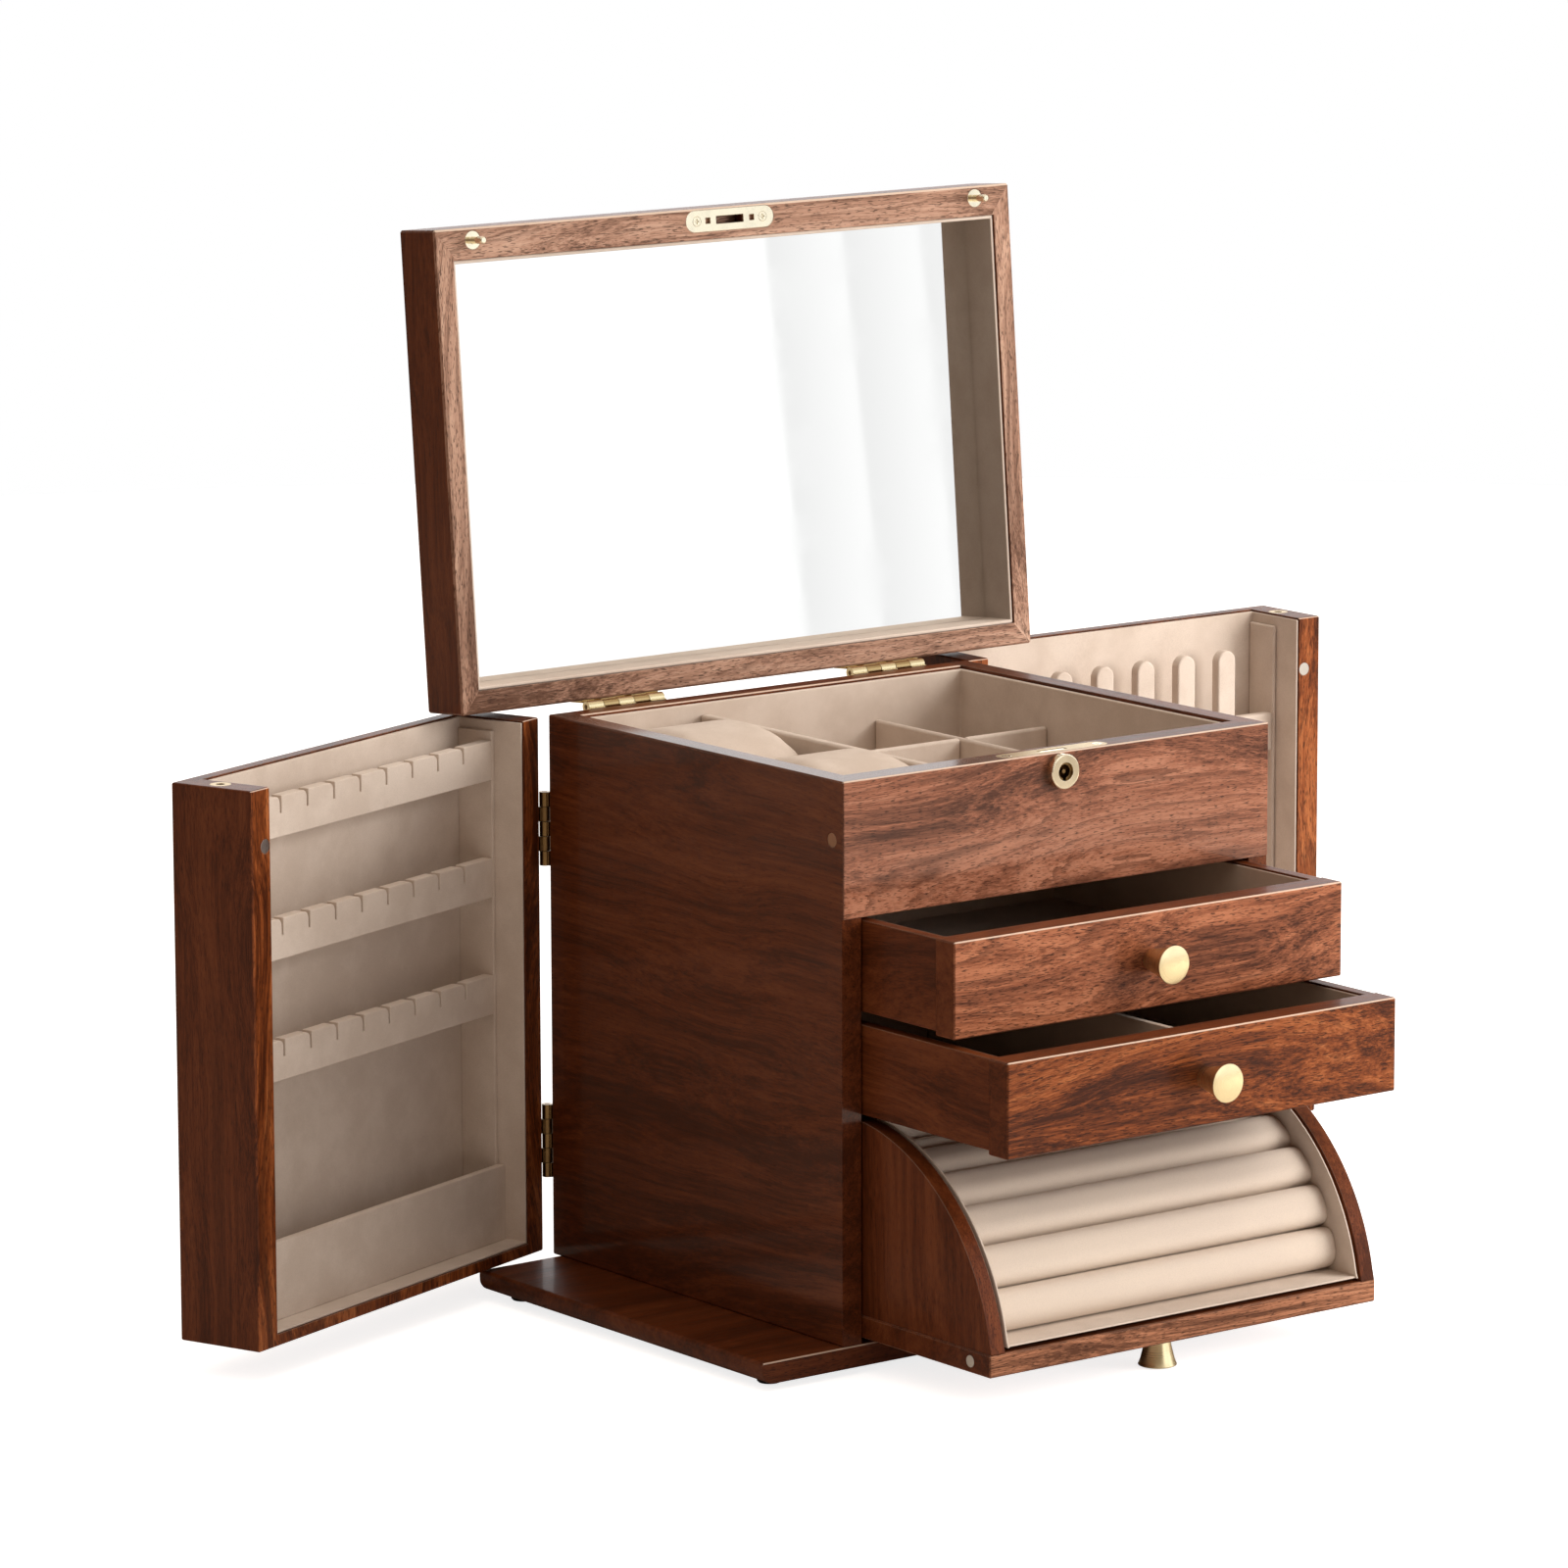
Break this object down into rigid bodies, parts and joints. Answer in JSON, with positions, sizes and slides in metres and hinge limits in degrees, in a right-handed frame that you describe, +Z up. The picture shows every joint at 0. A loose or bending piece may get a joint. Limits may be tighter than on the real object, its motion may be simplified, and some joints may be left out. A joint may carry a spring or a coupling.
{
  "type": "jewellery chest",
  "caption": "Wooden jewellery chest with a mirrored lift-up lid, swing-out side doors, pull-out drawers and a tilting ring tray, all lined with velvet.",
  "frame": {"origin": "on the table, under the middle of the case and of its four feet", "axes": "+Z up, -Y towards the drawer fronts, +X towards the right-hand door as seen from the front"},
  "size_m": [0.6266, 0.3478, 0.4406],
  "materials": {
    "walnut": "satin lacquer",
    "velvet": "short pile",
    "brass": "brushed and polished",
    "steel": "plain",
    "mirror": "polished",
    "rubber": "matt"
  },
  "bodies": {
    "carcass": {"base_plate": "walnut", "rubber_feet": "rubber", "right_side_panel": "walnut", "left_side_panel": "walnut", "back_panel": "walnut", "front_fascia": "walnut", "shelf_boards": "walnut", "top_tray_lining": "velvet", "top_tray_dividers": "velvet", "tray_pivot_pins": "steel", "case_magnets": "steel", "case_hinge_leaves": "brass", "hinge_pins": "brass", "case_screws": "brass", "lock_case": "brass", "lock_face_plate": "brass", "key_escutcheon": "brass"},
    "lid": {"lid_frame": "walnut", "lid_hinge_leaves": "brass", "lid_lining": "velvet", "lid_locating_pins": "brass", "lid_mirror": "mirror", "lid_screws": "brass", "lid_strike_plate": "brass", "lid_top_panel": "walnut"},
    "left_door": {"left_door_earring_rack": "velvet", "left_door_frame": "walnut", "left_door_hinge_leaves": "brass", "left_door_hinge_screws": "brass", "left_door_lining": "velvet", "left_door_magnet": "steel", "left_door_panel": "walnut", "left_door_pin_socket": "brass"},
    "right_door": {"right_door_frame": "walnut", "right_door_hinge_leaves": "brass", "right_door_hinge_screws": "brass", "right_door_lining": "velvet", "right_door_magnet": "steel", "right_door_necklace_rack": "velvet", "right_door_panel": "walnut", "right_door_pin_socket": "brass"},
    "upper_drawer": {"upper_drawer_box": "walnut", "upper_drawer_front": "walnut", "upper_drawer_knob": "brass", "upper_drawer_lining": "velvet"},
    "lower_drawer": {"lower_drawer_box": "walnut", "lower_drawer_front": "walnut", "lower_drawer_knob": "brass", "lower_drawer_lining": "velvet"},
    "ring_tray": {"ring_tray_bed": "velvet", "ring_tray_carcass": "walnut", "ring_tray_front": "walnut", "ring_tray_knob": "brass", "ring_tray_lining": "velvet", "ring_tray_magnets": "steel", "ring_tray_rolls": "velvet"},
    "lock_barrel": {"lock_barrel": "brass"},
    "lock_bolt": {"lock_bolt": "brass"},
    "back_pillow": {"back_watch_pillow": "velvet"},
    "front_pillow": {"front_watch_pillow": "velvet"}
  },
  "joints": [
    {"name": "lid_hinge", "type": "hinge", "parent": "carcass", "child": "lid", "pos_m": [0, 0.1019, 0.24035], "axis": [-1, 0, 0], "range_deg": [-94.8, 0]},
    {"name": "left_door_hinge", "type": "hinge", "parent": "carcass", "child": "left_door", "pos_m": [-0.1105, 0.10106, 0.1261], "axis": [0, 0, -1], "range_deg": [-69.75, 25.25]},
    {"name": "right_door_hinge", "type": "hinge", "parent": "carcass", "child": "right_door", "pos_m": [0.1105, 0.10106, 0.1261], "axis": [0, 0, 1], "range_deg": [-89.58, 5.42]},
    {"name": "upper_drawer_slide", "type": "slide", "parent": "carcass", "child": "upper_drawer", "axis": [0, -1, 0], "range_m": [-0.0582, 0.0818]},
    {"name": "lower_drawer_slide", "type": "slide", "parent": "carcass", "child": "lower_drawer", "axis": [0, -1, 0], "range_m": [-0.0913, 0.0487]},
    {"name": "ring_tray_hinge", "type": "hinge", "parent": "carcass", "child": "ring_tray", "pos_m": [0, -0.095, 0.0178], "axis": [1, 0, 0], "range_deg": [-90, 0]},
    {"name": "lock_barrel_turn", "type": "hinge", "parent": "carcass", "child": "lock_barrel", "pos_m": [0, -0.0955, 0.2323], "axis": [0, -1, 0], "range_deg": [0, 90]},
    {"name": "lock_bolt_slide", "type": "slide", "parent": "carcass", "child": "lock_bolt", "axis": [0, 0, 1], "range_m": [0, 0.00354]},
    {"name": "back_pillow_lift", "type": "slide", "parent": "carcass", "child": "back_pillow", "axis": [0, 0, 1], "range_m": [0, 0.06]},
    {"name": "front_pillow_lift", "type": "slide", "parent": "carcass", "child": "front_pillow", "axis": [0, 0, 1], "range_m": [0, 0.06]}
  ],
  "couplings": [
    {"joint": "lock_barrel_turn", "follows": "lock_bolt_slide", "rad_per_m": 444.28}
  ]
}
